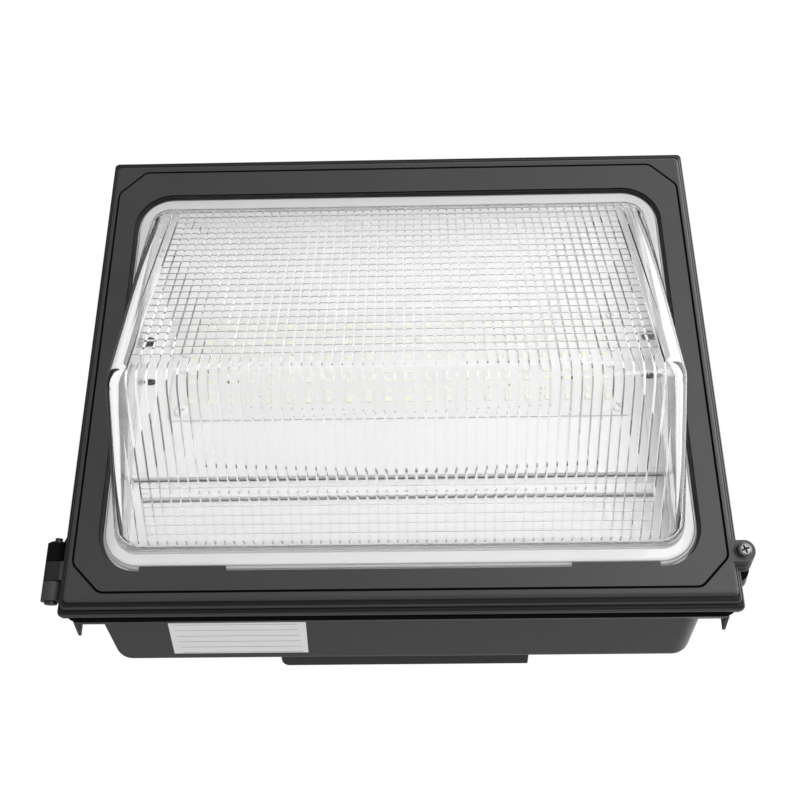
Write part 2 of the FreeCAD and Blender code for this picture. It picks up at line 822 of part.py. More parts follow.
def gasket_ring(half_width, z0, z1):
    """Ring along the door's tongue, half_width to each side of its middle."""
    middle = tongue_middle
    outer = middle - half_width
    outline = (rim_half_width - outer, rim_low + outer, rim_high - outer)
    return ring_slab(outline, 2 * half_width, z0, z1, 4.0)


def skirts():
    """Thin drip skirts behind the flange's two sides, level at their lower ends."""
    back = plate_front_h - flange_plate
    pair = []
    for side in (-1, 1):
        outer = flange_half_width - skirt_inset
        x0, x1 = sorted((side * outer, side * (outer - skirt_thick)))
        low = flange_low - skirt_drop
        skirt = tilted(box(x0, x1, low, flange_high - flange_corner, back - skirt_depth,
                           back + 1))
        level = row_point(0, flange_low, back - 1).z
        pair.append(skirt.cut(box(-beyond, beyond, -beyond, beyond, -beyond, level)))
    return pair


def housing_knuckles():
    """The two outer hinge knuckles, with arms to the flange and one tapering gusset."""
    pieces = []
    low = hinge_low
    high = hinge_low + 2 * (knuckle_length + knuckle_gap)
    for start in (low, high):
        barrel = Part.makeCylinder(hinge_radius, knuckle_length,
                                   Vector(hinge_x, start, hinge_h), Vector(0, 1, 0))
        arm = box(hinge_x, -flange_half_width + house_arm_root, start, start + knuckle_length,
                  hinge_h - hinge_radius, parting_h - house_arm_gap)
        pieces += [barrel, arm]
    outer = hinge_x - hinge_radius + gusset_outer
    root = -flange_half_width + house_arm_root
    plan = [(root, high), (root, gusset_high), (outer, high + gusset_step), (outer, high)]
    gusset = plan_profile(plan, hinge_h - hinge_radius, parting_h - house_arm_gap)
    top = high + knuckle_length
    clip_room = Part.makeCylinder(clip_radius + clip_clear, gusset_high,
                                  Vector(hinge_x, top, hinge_h), Vector(0, 1, 0))
    pieces.append(gusset.cut(clip_room))
    return [tilted(p) for p in pieces]


def housing_lug():
    """Ear behind the door's ear, bored for the threaded insert."""
    top = parting_h
    points = [(lug_high, top), (house_lug_low_front, top),
              (house_lug_low_back, top - house_lug_thick), (lug_high, top - house_lug_thick)]
    lug = side_profile(points, flange_half_width - house_lug_root, lug_outer_x)
    outer_edges = edges_where(lug, lambda p: near(p.x, lug_outer_x))
    corner_edges = [e for e in outer_edges if not near(e.Vertexes[0].Z, e.Vertexes[1].Z)]
    return tilted(lug.makeFillet(lug_round, corner_edges))


def plate_rails():
    """Cast ledges on the side walls that the light engine's plate is screwed to."""
    rails = []
    top = -plate_depth - plate_thick
    for side in (-1, 1):
        for row in plate_screw_rows:
            wall_x = body_half(row_point(0, row, top).y) - wall / 2
            x0, x1 = sorted((side * rail_inner_x, side * wall_x))
            rails.append(box(x0, x1, row - rail_half_height, row + rail_half_height,
                             top - rail_length, top))
    return [tilted(r) for r in rails]


def reflector_ribs():
    """Upright ribs on the floor of the housing behind the lower reflector's foot."""
    ribs = []
    top = -reflector_low_depth - reflector_thick - fit_clear
    for side in (-1, 1):
        x = side * reflector_screw_x
        rib = tilted(box(x - rib_half_width, x + rib_half_width, flange_low - 20,
                         reflector_low_a, top - rib_depth, top))
        ribs.append(rib.common(body_block(wall / 2)))
    return ribs


def driver_boss_places():
    return [(sx * driver_boss_x, driver_z + sz * driver_boss_rise)
            for sx in (-1, 1) for sz in (-1, 1)]


def side_boss(side):
    """Thickened round pad for the side conduit entry."""
    half = body_half(side_entry_y)
    start = side * (half - wall - side_boss_length)
    length = wall + side_boss_length + 2.0
    return Part.makeCylinder(side_boss_radius, length, Vector(start, side_entry_y, side_entry_z),
                             Vector(side, 0, 0))


def along_x(x0, x1, radius, y, z):
    low, high = sorted((x0, x1))
    return Part.makeCylinder(radius, high - low, Vector(low, y, z), Vector(1, 0, 0))


def terminal_boss():
    return box(terminal_x - terminal_width / 2 + 3, terminal_x + terminal_width / 2 - 3,
               inner_back_y - boss_height, inner_back_y + 1,
               terminal_z - terminal_height / 2 + 2, terminal_z + terminal_height / 2 - 2)


def housing():
    cavity = body_block(wall).fuse(platform(wall))
    shell = body_block(0).fuse(platform(0)).fuse(flange())
    for piece in skirts() + housing_knuckles() + [housing_lug()]:
        shell = shell.fuse(piece)
    for side in (-1, 1):
        shell = shell.fuse(side_boss(side))
    shell = shell.cut(cavity)
    inside = plate_rails() + reflector_ribs() + [terminal_boss()]
    for x, z in driver_boss_places():
        inside.append(rod_y(x, z, inner_back_y - boss_height, inner_back_y + 1, boss_radius))
    inside.append(rod_y(ground_x, ground_z, inner_back_y - boss_height, inner_back_y + 1,
                        boss_radius))
    for side in (-1, 1):
        half = body_half(side_entry_y)
        inside.append(along_x(side * (half - wall - side_boss_length), side * (half - 1),
                              side_boss_radius, side_entry_y, side_entry_z))
    inside.append(rod_y(0, 0, -entry_length, -1, entry_boss_radius))
    for piece in inside:
        shell = shell.fuse(piece)
    holes = [rod_y(0, 0, -2 * through, through, entry_radius)]
    for sx in (-1, 1):
        holes.append(rod_y(sx * box_hole_x, 0, -through, through, box_hole_radius))
        for sz in (-1, 1):
            holes.append(rod_y(sx * wall_hole_x, sz * wall_hole_z, -through, through,
                               wall_hole_radius))
        inner = sx * (body_half_back - 2 * through)
        outer = sx * (body_half_front + through)
        holes.append(along_x(inner, outer, side_entry_radius, side_entry_y, side_entry_z))
    bite_y = inner_back_y - boss_height
    for x, z in driver_boss_places():
        holes.append(rod_y(x, z, bite_y - 1, bite_y + screw_bite - 2.0, screw_hole))
    holes.append(rod_y(ground_x, ground_z, bite_y - 1, bite_y + screw_bite - 2.0, screw_hole))
    top = -plate_depth - plate_thick
    for side in (-1, 1):
        for row in plate_screw_rows:
            holes.append(tilted(rod(side * plate_screw_x, row, top - screw_bite - 1, top + 1,
                                    screw_hole)))
        holes.append(tilted(rod(side * reflector_screw_x, reflector_low_a - reflector_foot / 2,
                                -reflector_low_depth - reflector_thick - screw_bite,
                                -reflector_low_depth + 5, screw_hole)))
    pin_hole = Part.makeCylinder(hinge_pin_radius + running_clear, gusset_high + 2 * through,
                                 Vector(hinge_x, -through, hinge_h), Vector(0, 1, 0))
    holes.append(tilted(pin_hole))
    lug_back = parting_h - house_lug_thick
    holes.append(tilted(rod(latch_x, latch_a, lug_back - through, 0,
                            insert_radius + running_clear)))
    holes.append(tilted(gasket_ring(gasket_width / 2, parting_h - gasket_groove_depth,
                                    parting_h + 1)))
    for hole in holes:
        shell = shell.cut(hole)
    return shell.removeSplitter()


def side_plugs():
    """Screwed plugs that close the two side conduit entries."""
    plugs = []
    for side in (-1, 1):
        half = body_half(side_entry_y)
        seat = side * (half + 2.0)
        stem = along_x(seat, seat - side * plug_length, side_entry_radius - running_clear,
                       side_entry_y, side_entry_z)
        head = along_x(seat, seat + side * plug_head_thick, plug_head_radius,
                       side_entry_y, side_entry_z)
        rim = [e for e in head.Edges if near(abs(e.CenterOfMass.x),
                                             abs(seat) + plug_head_thick)]
        head = head.makeFillet(1.0, rim[:1])
        half_socket = plug_socket_width / 2
        deep = abs(seat) + plug_head_thick - plug_socket_depth
        x0, x1 = sorted((side * deep, side * 200))
        socket = box(x0, x1, side_entry_y - half_socket, side_entry_y + half_socket,
                     side_entry_z - half_socket, side_entry_z + half_socket)
        plugs.append(stem.fuse(head).cut(socket).removeSplitter())
    return many(plugs)


def door_gasket():
    """Silicone ring in the housing's groove, just under the door's tongue."""
    half = gasket_width / 2 - fit_clear
    ring = gasket_ring(half, parting_h - gasket_groove_depth, -door_depth - gasket_clear)
    return tilted(ring)


# ---------------------------------------------------------------- hinge and latch
def hinge_span():
    return hinge_low, hinge_low + 3 * knuckle_length + 2 * knuckle_gap


def hinge_pin():
    """Headed pin up through the three knuckles, grooved for its clip."""
    low, high = hinge_span()
    up = Vector(0, 1, 0)
    start = Vector(hinge_x, low - fit_clear, hinge_h)
    pin = Part.makeCylinder(hinge_pin_radius, high - low + pin_over, start, up)
    head = Part.makeCylinder(pin_head_radius, pin_head_thick,
                             start - up * pin_head_thick, up)
    groove_start = Vector(hinge_x, high + fit_clear, hinge_h)
    ring = Part.makeCylinder(hinge_pin_radius + 1, clip_thick + 2 * fit_clear, groove_start, up)
    core = Part.makeCylinder(clip_groove_radius, clip_thick + 2 * fit_clear, groove_start, up)
    return tilted(pin.fuse(head).cut(ring.cut(core)).removeSplitter())


def hinge_clip():
    """Push-on ring that keeps the pin from dropping out."""
    low, high = hinge_span()
    up = Vector(0, 1, 0)
    start = Vector(hinge_x, high + 2 * fit_clear, hinge_h)
    disc = Part.makeCylinder(clip_radius, clip_thick, start, up)
    hole = Part.makeCylinder(clip_groove_radius + running_clear, clip_thick, start, up)
    mouth = box(hinge_x - clip_radius - 1, hinge_x, high, high + 3,
                hinge_h - clip_groove_radius * 0.8, hinge_h + clip_groove_radius * 0.8)
    return tilted(disc.cut(hole).cut(mouth))


def lug_insert():
    """Threaded insert pressed into the housing's ear; its thread is left plain."""
    top = parting_h
    tube = rod(latch_x, latch_a, top - house_lug_thick, top - fit_clear, insert_radius)
    bore = rod(latch_x, latch_a, top - house_lug_thick - 1, top + 1, latch_hole_radius)
    return tilted(tube.cut(bore))


def latch_screw():
    """Captive pan-head screw through the door's ear."""
    screw = pan_screw(latch_radius, latch_head_radius, latch_head_height,
                      washer_thick + latch_reach)
    return tilted(placed_along(screw, Vector(latch_x, latch_a, washer_thick), Vector(0, 0, 1)))


def latch_ring(radius, inner_radius, h0, h1):
    ring = rod(latch_x, latch_a, h0, h1, radius)
    return tilted(ring.cut(rod(latch_x, latch_a, h0 - 1, h1 + 1, inner_radius)))


def latch_washer():
    return latch_ring(washer_radius, latch_radius + running_clear, fit_clear, washer_thick)


def latch_retainer():
    """Ring on the screw behind the door's ear that keeps the screw captive."""
    return latch_ring(retainer_radius, latch_radius + running_clear / 2,
                      -retainer_rest - retainer_thick, -retainer_rest)


# ---------------------------------------------------------------- light engine
def led_plate():
    """White sheet plate with a turned-back lower lip and a raised upper lip."""
    front = -plate_depth
    back = front - plate_thick
    plate = box(-plate_half_width, plate_half_width, plate_low, plate_high, back, front)
    lip = box(-plate_half_width, plate_half_width, plate_low, plate_low + plate_thick,
              front - plate_lip - plate_thick, front)
    rise = plate_depth - reflector_front_depth
    points = [(plate_high - plate_thick, back), (plate_high + rise, back + rise),
              (plate_high + rise, front + rise), (plate_high - plate_thick, front)]
    brow = side_profile(points, -plate_half_width, plate_half_width)
    plate = plate.fuse(lip).fuse(brow)
    for side in (-1, 1):
        for row in plate_screw_rows:
            plate = plate.cut(rod(side * plate_screw_x, row, back - 1, front + 1, screw_hole))
        for row in board_screw_rows:
            plate = plate.cut(rod(side * board_screw_x, row, back - 1, front + 1,
                                  clip_screw_radius + running_clear))
    return tilted(plate.removeSplitter())


def led_plate_screws():
    screws = []
    screw = pan_screw(screw_radius, screw_head_radius, screw_head_height,
                      side_reflector_thick + plate_thick + screw_bite - 1.0)
    for side in (-1, 1):
        for row in plate_screw_rows:
            spot = Vector(side * plate_screw_x, row, -plate_depth + side_reflector_thick)
            screws.append(tilted(placed_along(screw, spot, Vector(0, 0, 1))))
    return many(screws)


def led_board():
    board = rounded_slab(-board_half_width, board_half_width, board_low, board_high,
                         -plate_depth, -plate_depth + board_thick, 2.0)
    for side in (-1, 1):
        for row in board_screw_rows:
            board = board.cut(rod(side * board_screw_x, row, -plate_depth - 1, 0,
                                  clip_screw_radius + running_clear))
    return tilted(board)


def led_chips():
    chips = []
    half = chip_size / 2
    seat = -plate_depth + board_thick
    for a in chip_rows:
        for i in range(chip_columns):
            x = (i - (chip_columns - 1) / 2) * chip_pitch
            chips.append(tilted(box(x - half, x + half, a - half, a + half,
                                    seat, seat + chip_height)))
    return many(chips)


def led_board_screws():
    screws = []
    screw = pan_screw(clip_screw_radius, clip_head_radius, clip_head_height,
                      board_thick + plate_thick + 2.0)
    for side in (-1, 1):
        for row in board_screw_rows:
            spot = Vector(side * board_screw_x, row, -plate_depth + board_thick)
            screws.append(tilted(placed_along(screw, spot, Vector(0, 0, 1))))
    return many(screws)


def lower_reflector():
    """Folded sheet from under the plate's lower lip down to its screwed foot."""
    t = reflector_thick
    top = (plate_low - reflector_top_gap, -reflector_top_depth)
    low = (reflector_low_a, -reflector_low_depth)
    foot = (reflector_low_a - reflector_foot, -reflector_low_depth)
    points = [top, low, foot, (foot[0], foot[1] - t), (low[0] + 0.3, low[1] - t),
              (top[0], top[1] - t)]
    sheet = side_profile(points, -reflector_half_width, reflector_half_width)
    for side in (-1, 1):
        sheet = sheet.cut(rod(side * reflector_screw_x, reflector_low_a - reflector_foot / 2,
                              -reflector_low_depth - 5, -reflector_low_depth + 5, screw_hole))
    return tilted(sheet)


def reflector_screws():
    screws = []
    screw = pan_screw(screw_radius, screw_head_radius * 0.9, screw_head_height,
                      reflector_thick + screw_bite - 1.0)
    for side in (-1, 1):
        spot = Vector(side * reflector_screw_x, reflector_low_a - reflector_foot / 2,
                      -reflector_low_depth)
        screws.append(tilted(placed_along(screw, spot, Vector(0, 0, 1))))
    return many(screws)


def side_reflector(side):
    """End sheet on the plate: a foot under the plate screws and an upright wall."""
    t = side_reflector_thick
    front = -reflector_front_depth
    seat = -plate_depth
    wall_x = reflector_half_width + 0.3
    points = [(plate_high, front), (reflector_low_a + 3, front),
              (reflector_low_a + 3, -reflector_low_depth - 2),
              (plate_low, -reflector_top_depth - 2), (plate_low, seat), (plate_high, seat)]
    upright = side_profile(points, wall_x, wall_x + t)
    foot = box(wall_x - side_reflector_foot, wall_x + t, plate_low + plate_thick, plate_high - 2,
               seat, seat + t)
    sheet = upright.fuse(foot)
    for row in plate_screw_rows:
        sheet = sheet.cut(rod(plate_screw_x, row, seat - 1, seat + 3, screw_hole))
    if side < 0:
        sheet = sheet.mirror(Vector(0, 0, 0), Vector(1, 0, 0))
    return tilted(sheet)


# ---------------------------------------------------------------- driver and wiring
def driver_bracket():
    """Sheet bracket on the back wall's bosses with a return flange along its top."""
    seat = inner_back_y - boss_height
    z0 = driver_z - bracket_height / 2
    z1 = driver_z + bracket_height / 2
    sheet = box(-bracket_half_width, bracket_half_width, seat - bracket_thick, seat, z0, z1)
    sheet = sheet.fuse(box(-bracket_half_width, bracket_half_width, seat - bracket_flange, seat,
                           z1 - bracket_thick, z1))
    for x, z in driver_boss_places():
        sheet = sheet.cut(rod_y(x, z, seat - 5, seat + 1, screw_hole))
    return sheet.removeSplitter()


def led_driver():
    """Driver case with rounded edges and a screw ear at each end."""
    seat = inner_back_y - boss_height - bracket_thick
    half = driver_length / 2
    case = box(-half, half, seat - driver_thick, seat, driver_z - driver_height / 2,
               driver_z + driver_height / 2)
    long_edges = [e for e in case.Edges if abs(e.Vertexes[0].X - e.Vertexes[1].X) > 1
                  and near(e.Vertexes[0].Y, seat - driver_thick)]
    case = case.makeFillet(4.0, long_edges)
    for side in (-1, 1):
        x0, x1 = sorted((side * (half - 1), side * (half + driver_ear_length)))
        ear = box(x0, x1, seat - driver_ear_thick, seat, driver_z - 8, driver_z + 8)
        case = case.fuse(ear)
    return case.removeSplitter()


def driver_screws():
    screws = []
    seat = inner_back_y - boss_height - bracket_thick
    screw = pan_screw(screw_radius, screw_head_radius, screw_head_height,
                      bracket_thick + screw_bite - 3.0)
    for x, z in driver_boss_places():
        screws.append(placed_along(screw, Vector(x, seat, z), Vector(0, -1, 0)))
    return many(screws)


def terminal_block():
    """Three-way terminal block on the back wall's pad."""
    seat = inner_back_y - boss_height
    x0 = terminal_x - terminal_width / 2
    z0 = terminal_z - terminal_height / 2
    block = box(x0, x0 + terminal_width, seat - terminal_thick, seat, z0, z0 + terminal_height)
    pitch = terminal_width / 3
    for way in range(3):
        x = x0 + pitch * (way + 0.5)
        block = block.cut(rod_y(x, terminal_z, seat - terminal_thick - 1,
                                seat - terminal_thick + 5, 3.0))
        block = block.cut(Part.makeCylinder(2.4, 8, Vector(x, seat - terminal_thick / 2, z0 - 1),
                                            Vector(0, 0, 1)))
    return block


def ground_screw():
    seat = inner_back_y - boss_height
    screw = pan_screw(screw_radius, screw_head_radius, screw_head_height, screw_bite - 3.0)
    return placed_along(screw, Vector(ground_x, seat, ground_z), Vector(0, -1, 0))


# ---------------------------------------------------------------- write the pieces
NODES = {
    "housing": housing,
    "side_plugs": side_plugs,
    "door_gasket": door_gasket,
    "hinge_pin": hinge_pin,
    "hinge_clip": hinge_clip,
    "lug_insert": lug_insert,
    "led_plate": led_plate,
    "led_plate_screws": led_plate_screws,
    "led_board": led_board,
    "led_chips": led_chips,
    "led_board_screws": led_board_screws,
    "lower_reflector": lower_reflector,
    "reflector_screws": reflector_screws,
    "side_reflector_left": lambda: side_reflector(-1),
    "side_reflector_right": lambda: side_reflector(1),
    "driver_bracket": driver_bracket,
    "led_driver": led_driver,
    "driver_screws": driver_screws,
    "terminal_block": terminal_block,
    "ground_screw": ground_screw,
    "door_frame": door_frame,
    "glass_refractor": glass_refractor,
    "glass_gasket": glass_gasket,
    "glass_clips": glass_clips,
    "glass_clip_screws": glass_clip_screws,
    "latch_screw": latch_screw,
    "latch_washer": latch_washer,
    "latch_retainer": latch_retainer,
}

os.makedirs("parts", exist_ok=True)
for name, make in NODES.items():
    shape = make()
    shape.exportStep(f"parts/{name}.step")
    bounds = shape.BoundBox
    print(f"{name}: {len(shape.Solids)} solids, {shape.Volume / 1000:.1f} cm3, "
          f"x {bounds.XMin:.1f}..{bounds.XMax:.1f}, y {bounds.YMin:.1f}..{bounds.YMax:.1f}, "
          f"z {bounds.ZMin:.1f}..{bounds.ZMax:.1f}")
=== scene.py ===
"""Wall pack light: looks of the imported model, in metres, in the part's own frame.

The wall is y = 0, the front looks along -Y and +Z is up. The door leans out at the top by
DOOR_TILT. A place on the door is told by x, by how far it lies up the face, and by its height
over the face.
"""
import math

import bmesh
import bpy
from mathutils import Matrix, Vector


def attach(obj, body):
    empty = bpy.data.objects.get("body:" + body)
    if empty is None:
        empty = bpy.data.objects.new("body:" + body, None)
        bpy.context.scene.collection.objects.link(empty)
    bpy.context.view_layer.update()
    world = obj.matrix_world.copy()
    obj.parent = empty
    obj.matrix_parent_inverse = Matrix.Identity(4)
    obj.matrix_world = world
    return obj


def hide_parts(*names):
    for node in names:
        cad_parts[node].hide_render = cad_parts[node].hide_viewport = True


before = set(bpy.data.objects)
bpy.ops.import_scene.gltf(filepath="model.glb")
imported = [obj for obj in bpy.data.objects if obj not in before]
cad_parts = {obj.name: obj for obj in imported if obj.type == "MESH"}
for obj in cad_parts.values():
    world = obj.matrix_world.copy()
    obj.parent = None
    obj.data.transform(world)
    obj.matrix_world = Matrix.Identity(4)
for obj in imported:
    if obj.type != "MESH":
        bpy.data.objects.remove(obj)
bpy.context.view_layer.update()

MM = 0.001
ACROSS = Vector((1, 0, 0))
TO_WALL = Vector((0, 1, 0))
TO_FRONT = Vector((0, -1, 0))
UPWARDS = Vector((0, 0, 1))

DOOR_TILT = math.radians(26.0)
DOOR_FOOT = Vector((0, -78.0, -125.0)) * MM      # lower end of the face, midway across
UP_FACE = Vector((0, -math.sin(DOOR_TILT), math.cos(DOOR_TILT)))
OUT_OF_FACE = Vector((0, -math.cos(DOOR_TILT), -math.sin(DOOR_TILT)))


# ---------------------------------------------------------------- camera
CAMERA_PLACE = Vector((10.4, -486.04, -431.63)) * MM
CAMERA_PITCH = math.radians(48.496)
CAMERA_YAW = math.radians(1.444)
CAMERA_ROLL = math.radians(0.322)
LENS = 42.75
SENSOR = 36.0


def make_camera():
    """Stands below and in front of the light and looks up at it."""
    data = bpy.data.cameras.new("camera")
    data.lens = LENS
    data.sensor_width = SENSOR
    camera = bpy.data.objects.new("camera", data)
    bpy.context.scene.collection.objects.link(camera)
    level = math.cos(CAMERA_PITCH)
    forward = Vector((-math.sin(CAMERA_YAW) * level, math.cos(CAMERA_YAW) * level,
                      math.sin(CAMERA_PITCH)))
    right = Vector((math.cos(CAMERA_YAW), math.sin(CAMERA_YAW), 0))
    up = right.cross(forward)
    rolled_right = right * math.cos(CAMERA_ROLL) + up * math.sin(CAMERA_ROLL)
    rolled_up = up * math.cos(CAMERA_ROLL) - right * math.sin(CAMERA_ROLL)
    turn = Matrix((rolled_right, rolled_up, -forward)).transposed().to_4x4()
    camera.matrix_world = Matrix.Translation(CAMERA_PLACE) @ turn
    bpy.context.scene.camera = camera


# ---------------------------------------------------------------- shader helpers
class Wire:
    """A socket of a finish; sums, products and comparisons of wires add maths nodes."""

    def __init__(self, finish, socket):
        self.finish = finish
        self.socket = socket

    def __add__(self, other):
        return self.finish.maths("ADD", self, other)

    def __sub__(self, other):
        return self.finish.maths("SUBTRACT", self, other)

    def __rsub__(self, other):
        return self.finish.maths("SUBTRACT", other, self)

    def __mul__(self, other):
        return self.finish.maths("MULTIPLY", self, other)

    def __gt__(self, other):
        return self.finish.maths("GREATER_THAN", self, other)

    def __lt__(self, other):
        return self.finish.maths("LESS_THAN", self, other)

    __radd__ = __add__


class Finish:
    """A material or the world, and the few ways in which this script adds nodes to it."""

    def __init__(self, name, owner=None):
        self.owner = owner or bpy.data.materials.new(name)
        self.owner.use_nodes = True
        self.tree = self.owner.node_tree
        self.tree.nodes.clear()

    def node(self, kind, settings=None, values=None, outlet=0):
        """Adds a node, fills its inputs with numbers or wires, and gives one outlet."""
        made = self.tree.nodes.new(kind)
        for key, value in (settings or {}).items():
            setattr(made, key, value)
        for key, value in (values or {}).items():
            if isinstance(value, Wire):
                self.tree.links.new(value.socket, made.inputs[key])
            else:
                made.inputs[key].default_value = value
        return Wire(self, made.outputs[outlet]) if made.outputs else None

    def maths(self, operation, first, second=0.0):
        return self.node("ShaderNodeMath", {"operation": operation}, {0: first, 1: second})

    def place(self):
        return self.node("ShaderNodeTexCoord", outlet="Object")

    def part(self, vector, letter):
        return self.node("ShaderNodeSeparateXYZ", None, {"Vector": vector}, letter)

    def noise(self, scale, detail, roughness):
        return self.node("ShaderNodeTexNoise", None,
                         {"Vector": self.place(), "Scale": scale, "Detail": detail,
                          "Roughness": roughness}, "Fac")

    def mix(self, factor, first, second):
        return self.node("ShaderNodeMix", {"data_type": "RGBA"},
                         {"Factor": factor, "A": first, "B": second}, 2)

    def bump(self, height, distance, strength):
        return self.node("ShaderNodeBump", None,
                         {"Height": height, "Distance": distance, "Strength": strength})

    def along(self, way):
        """How far a place lies along a direction."""
        return self.node("ShaderNodeVectorMath", {"operation": "DOT_PRODUCT"},
                         {0: self.place(), 1: way}, "Value")

    def height_over_door(self):
        return self.along(OUT_OF_FACE) - OUT_OF_FACE.dot(DOOR_FOOT)

    def up_door(self):
        return self.along(UP_FACE) - UP_FACE.dot(DOOR_FOOT)

    def within(self, value, ends):
        return (value > ends[0]) * (value < ends[1])

    def shader(self, **values):
        return self.node("ShaderNodeBsdfPrincipled", None,
                         {key.replace("_", " "): value for key, value in values.items()})

    def blend(self, share, first, second):
        return self.node("ShaderNodeMixShader", None, {0: share, 1: first, 2: second})

    def output(self, shader):
        self.node("ShaderNodeOutputMaterial", None, {"Surface": shader})


def rgb(red, green=None, blue=None):
    """Colour from three parts, or a grey from one."""
    if green is None:
        return (red, red, red, 1.0)
    return (red, green, blue, 1.0)


# ---------------------------------------------------------------- castings
# Where painted shade darkens the coat: the scored line, the feet of the reeds, the gap
# between door and housing, the hinge and the side next to the wall.
FACE_SIDES = (-176.1 * MM, 176.1 * MM)   # flat face of the door, short of its rounded edge
FACE_ENDS = (1.0 * MM, 271.8 * MM)
SCORE_HEIGHTS = (-1.4 * MM, -0.2 * MM)
REED_FEET = ((-3.6 * MM, -3.05 * MM), (-6.8 * MM, -6.25 * MM))
REED_SHARE = 0.75
DOOR_SEAM = -10.6 * MM      # heights on either side of the gap between door and housing
HOUSING_SEAM = -15.0 * MM
FLANGE_SIDES = (-182.5 * MM, 200.0 * MM)     # the hinge lies left of them
DOOR_KNUCKLE = -184.5 * MM
KNUCKLE_SHARE = 0.6
UPPER_ARM = (21.7 * MM, 60.0 * MM)
WALL_DEPTH = -11.5 * MM
WALL_SHARE = 0.35


def coated(f, dark):
    """Textured powder coat on a casting, with black and dull painted shade in the share given
    by dark.
    """
    grain = f.noise(1100.0, 2.0, 0.6)
    cloud = f.noise(14.0, 3.0, 0.5)
    colour = f.mix(cloud, rgb(0.028, 0.028, 0.029), rgb(0.040, 0.040, 0.041))
    coat = f.shader(Base_Color=colour, Roughness=0.42 + cloud * 0.12 + grain * 0.10,
                    Specular_IOR_Level=0.5, Normal=f.bump(grain, 0.25 * MM, 0.35))
    # painted shade: a black, dull coat standing in for shadow in grooves, gaps and shaded
    # corners
    painted_shade = f.shader(Base_Color=f.mix(grain, rgb(0.003), rgb(0.008)), Roughness=0.9,
                     Specular_IOR_Level=0.05)
    f.output(f.blend(f.maths("MINIMUM", dark, 1.0), coat, painted_shade))
    return f.owner


def door_coat():
    """Painted shade in the scored line, at the feet of the reeds, on the knuckle and at the
    gap.
    """
    f = Finish("door_coat")
    height = f.height_over_door()
    x = f.along(ACROSS)
    # painted shade where the groove, the valleys between the reeds, the door's knuckle and
    # the parting gap lie in shadow
    score = (f.within(x, FACE_SIDES) * f.within(f.up_door(), FACE_ENDS)
             * f.within(height, SCORE_HEIGHTS))
    reeds = f.within(height, REED_FEET[0]) + f.within(height, REED_FEET[1])
    knuckle = (x < DOOR_KNUCKLE) * KNUCKLE_SHARE
    return coated(f, score + reeds * REED_SHARE + (height < DOOR_SEAM) + knuckle)


def housing_coat():
    """Painted shade on the flange's edge, round the upper hinge arm and next to the wall."""
    f = Finish("housing_coat")
    x = f.along(ACROSS)
    # painted shade in the parting gap, on the shaded upper hinge arm and on the side next to
    # the wall
    seam = (f.height_over_door() > HOUSING_SEAM) * f.within(x, FLANGE_SIDES)
    arm = (x < FLANGE_SIDES[0]) * f.within(f.up_door(), UPPER_ARM)
    wall = (f.along(TO_WALL) > WALL_DEPTH) * WALL_SHARE
    return coated(f, seam + arm + wall)


# ---------------------------------------------------------------- glass
# The glass's foot is painted as an opaque pale highlight, standing in for light through the
# glass from the white sheets behind it, with painted dark rings round it.
BEAD_TOP = 0.8 * MM         # the glass's rounded foot lies below this height
BEAD_SHARE = 0.6
BEAD_LINES = ((-2.1 * MM, -1.5 * MM), (-4.2 * MM, -3.4 * MM))    # painted dark rings round the foot's painted highlight
GLASS_SHADE = rgb(0.85)     # what the glass lets through to the surfaces behind it


def clear_glass():
    """Pressed glass, very slightly uneven, whose foot is painted as a pale highlight with
    dark rings.
    """
    f = Finish("pressed_glass")
    ripple = f.noise(60.0, 2.0, 0.5)
    glass = f.shader(Base_Color=rgb(1.0), Roughness=0.0, IOR=1.5, Transmission_Weight=1.0,
                     Normal=f.bump(ripple, 0.2 * MM, 0.12))
    height = f.height_over_door()
    painted_dark_rings = f.within(height, BEAD_LINES[0]) + f.within(height, BEAD_LINES[1])
    # painted highlight on the glass's foot, with painted dark rings
    painted_bead_highlight = f.shader(Base_Color=f.mix(painted_dark_rings, rgb(0.88), rgb(0.22)), Roughness=0.12, IOR=1.5)
    pressed = f.blend((height < BEAD_TOP) * BEAD_SHARE, glass, painted_bead_highlight)
    shadow = f.node("ShaderNodeLightPath", outlet="Is Shadow Ray")
    see_through = f.node("ShaderNodeBsdfTransparent", None, {"Color": GLASS_SHADE})
    f.output(f.blend(shadow, pressed, see_through))
    return f.owner


# ---------------------------------------------------------------- other finishes
def swayed(name, sway, colours, gloss, grain=None, bump=None, **steady):
    """A finish whose colour follows one noise, and whose gloss and bump follow another.

    sway and grain are scale, detail and roughness of the noises, and grain is the same noise
    as sway where it isn't given. gloss is the least roughness and how far it rises.
    """
    f = Finish(name)
    tint = f.noise(*sway)
    speck = f.noise(*grain) if grain else tint
    values = dict(steady, Base_Color=f.mix(tint, *colours),
                  Roughness=gloss[0] + speck * gloss[1])
    if bump:
        values["Normal"] = f.bump(speck, *bump)
    f.output(f.shader(**values))
    return f.owner


def plug_coat():
    return swayed("plug_coat", (900.0, 2.0, 0.6), (rgb(0.035), rgb(0.055)), (0.4, 0.15),
                  bump=(0.1 * MM, 0.3))


def silicone(name, dark, pale):
    """Moulded silicone of a seal."""
    return swayed(name, (400.0, 3.0, 0.6), (rgb(dark), rgb(pale)), (0.55, 0.2),
                  bump=(0.04 * MM, 0.3))


def plated_steel(name, dark, pale):
    """Plated steel of screws and clips."""
    return swayed(name, (90.0, 2.0, 0.5), (rgb(dark), rgb(pale)), (0.22, 0.16),
                  grain=(600.0, 4.0, 0.6), bump=(0.02 * MM, 0.3), Metallic=1.0)


def brass():
    return swayed("brass", (500.0, 3.0, 0.6), (rgb(0.62, 0.45, 0.18), rgb(0.74, 0.56, 0.27)),
                  (0.25, 0.15), Metallic=1.0)


